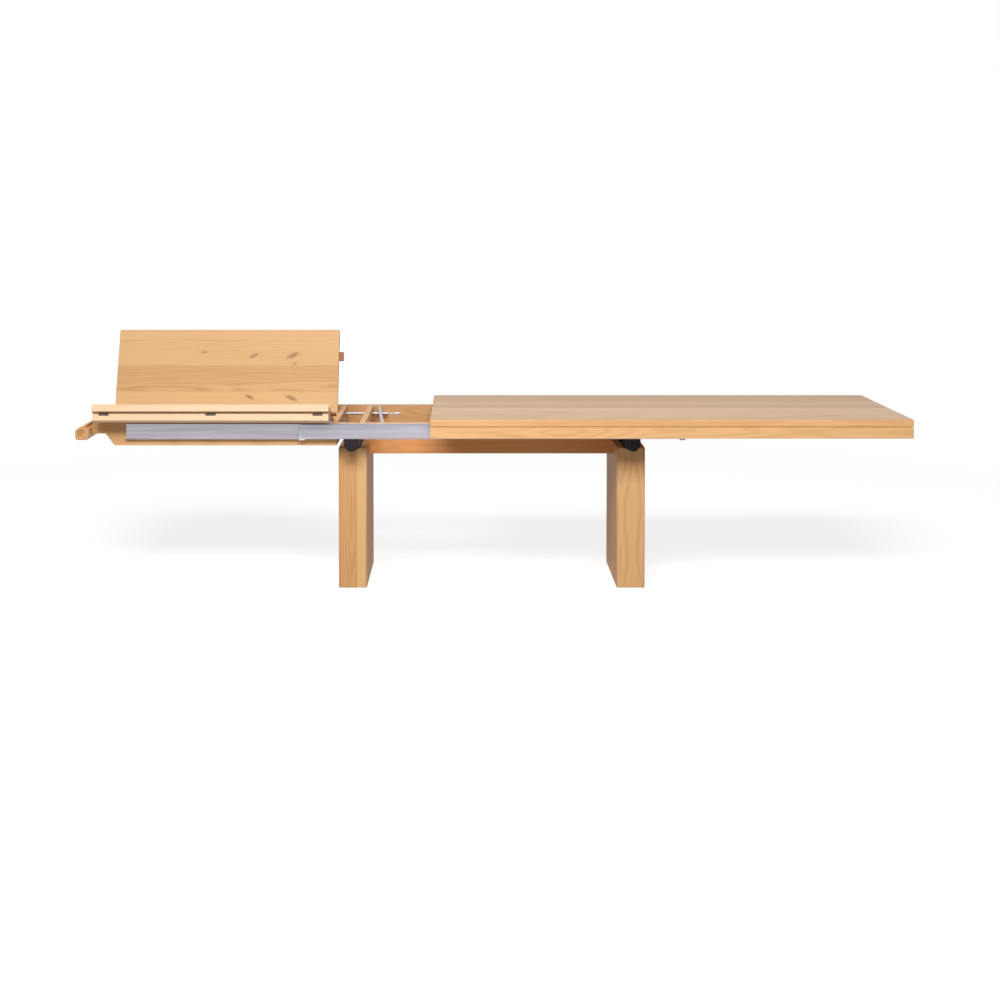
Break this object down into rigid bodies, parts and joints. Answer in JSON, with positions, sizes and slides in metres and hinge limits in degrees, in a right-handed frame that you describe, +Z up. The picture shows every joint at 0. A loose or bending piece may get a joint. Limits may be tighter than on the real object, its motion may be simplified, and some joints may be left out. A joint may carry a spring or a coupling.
{
  "type": "extendable dining table",
  "caption": "Solid wood dining table on slab legs: the top and a carrier slide apart on aluminium rails and a folding leaf stands up from the carrier.",
  "frame": {"origin": "on the floor, midway between the two slab legs, at the middle of the table's depth", "axes": "+X to the fixed end of the main top, +Y to the back, +Z up"},
  "size_m": [3.5, 0.9, 1.0799],
  "materials": {
    "leg_wood": "oiled solid wood, satin",
    "beam_wood": "oiled solid wood, dark heartwood, satin",
    "steel_black": "black powder coat, matt",
    "screws": "zinc plated",
    "plastic_dark": "moulded, matt",
    "plastic_white": "moulded, matt",
    "aluminium": "extruded, natural anodised, satin",
    "top_wood": "oiled solid wood, knotty, satin",
    "steel_grey": "zinc plated",
    "rail_wood": "oiled solid wood, satin",
    "leaf_wood": "oiled solid wood, knotty, satin",
    "tongue_wood": "oiled solid wood, satin",
    "bronze": "dark bronze lacquer",
    "flap_wood": "oiled solid wood, satin",
    "flap_core_wood": "oiled solid wood, darker, satin"
  },
  "bodies": {
    "pedestal": {"leg_left": "leg_wood", "leg_right": "leg_wood", "beam": "beam_wood", "bearer_left": "steel_black", "bearer_right": "steel_black", "bearer_screws": "screws", "glides": "plastic_dark", "rail_front": "aluminium", "rail_back": "aluminium", "rail_caps": "plastic_white", "stop_screws": "screws", "gear_bracket": "steel_black", "gear_clip": "screws"},
    "top": {"top_board": "top_wood", "apron_front": "top_wood", "apron_back": "top_wood", "apron_end": "top_wood", "corner_blocks": "top_wood", "stiffeners": "steel_grey", "runner_front": "aluminium", "runner_back": "aluminium", "runner_screws": "screws", "top_rack": "steel_grey"},
    "carrier": {"side_rail_front": "rail_wood", "side_rail_back": "rail_wood", "channel_front": "aluminium", "channel_back": "aluminium", "end_rail_left": "rail_wood", "end_rail_right": "rail_wood", "cross_member": "rail_wood", "tie_bar": "aluminium", "carrier_rack": "steel_grey", "leaf_pins": "steel_grey", "flap_hinges": "bronze"},
    "leaf_front": {"leaf_board_front": "leaf_wood", "leaf_tongue_front": "tongue_wood", "pivot_plates": "steel_grey", "strip_hinges_front": "bronze", "mid_hinge_front": "bronze"},
    "leaf_back": {"leaf_board_back": "leaf_wood", "leaf_tongue_back": "tongue_wood", "strip_hinges_back": "bronze", "mid_hinge_back": "bronze"},
    "apron_strip_front": {"strip_front": "leaf_wood"},
    "apron_strip_back": {"strip_back": "leaf_wood"},
    "end_flap": {"flap_shell": "flap_wood", "flap_core": "flap_core_wood", "flap_lugs": "bronze"},
    "pinion": {"pinion": "steel_grey"}
  },
  "joints": [
    {"name": "top_slide", "type": "slide", "parent": "pedestal", "child": "top", "axis": [1, 0, 0], "range_m": [-0.19, 0]},
    {"name": "carrier_slide", "type": "slide", "parent": "pedestal", "child": "carrier", "axis": [1, 0, 0], "range_m": [0, 0.19]},
    {"name": "pinion_spin", "type": "hinge", "parent": "pedestal", "child": "pinion", "pos_m": [0, 0, 0.639], "axis": [0, 0, 1], "range_deg": [-410, 10]},
    {"name": "leaf_front_tilt", "type": "hinge", "parent": "carrier", "child": "leaf_front", "pos_m": [-1.1765, -0.26371, 0.7035], "axis": [1, 0, 0], "range_deg": [0, 20]},
    {"name": "leaf_back_fold", "type": "hinge", "parent": "leaf_front", "child": "leaf_back", "pos_m": [-1.1765, 0, 0.657], "axis": [1, 0, 0], "range_deg": [-90, 0]},
    {"name": "strip_front_fold", "type": "hinge", "parent": "leaf_front", "child": "apron_strip_front", "pos_m": [-1.1765, -0.41207, 0.76601], "axis": [1, 0, 0], "range_deg": [-90, 0]},
    {"name": "strip_back_fold", "type": "hinge", "parent": "leaf_back", "child": "apron_strip_back", "pos_m": [-1.1765, 0.18137, 1.04273], "axis": [1, 0, 0], "range_deg": [0, 90]},
    {"name": "flap_lift", "type": "hinge", "parent": "carrier", "child": "end_flap", "pos_m": [-1.698, 0, 0.714], "axis": [0, 1, 0], "range_deg": [0, 45]}
  ],
  "couplings": [
    {"joint": "carrier_slide", "follows": "top_slide", "ratio": -1},
    {"joint": "pinion_spin", "follows": "top_slide", "rad_per_m": 37.037},
    {"joint": "leaf_back_fold", "follows": "leaf_front_tilt", "ratio": -4.5}
  ]
}
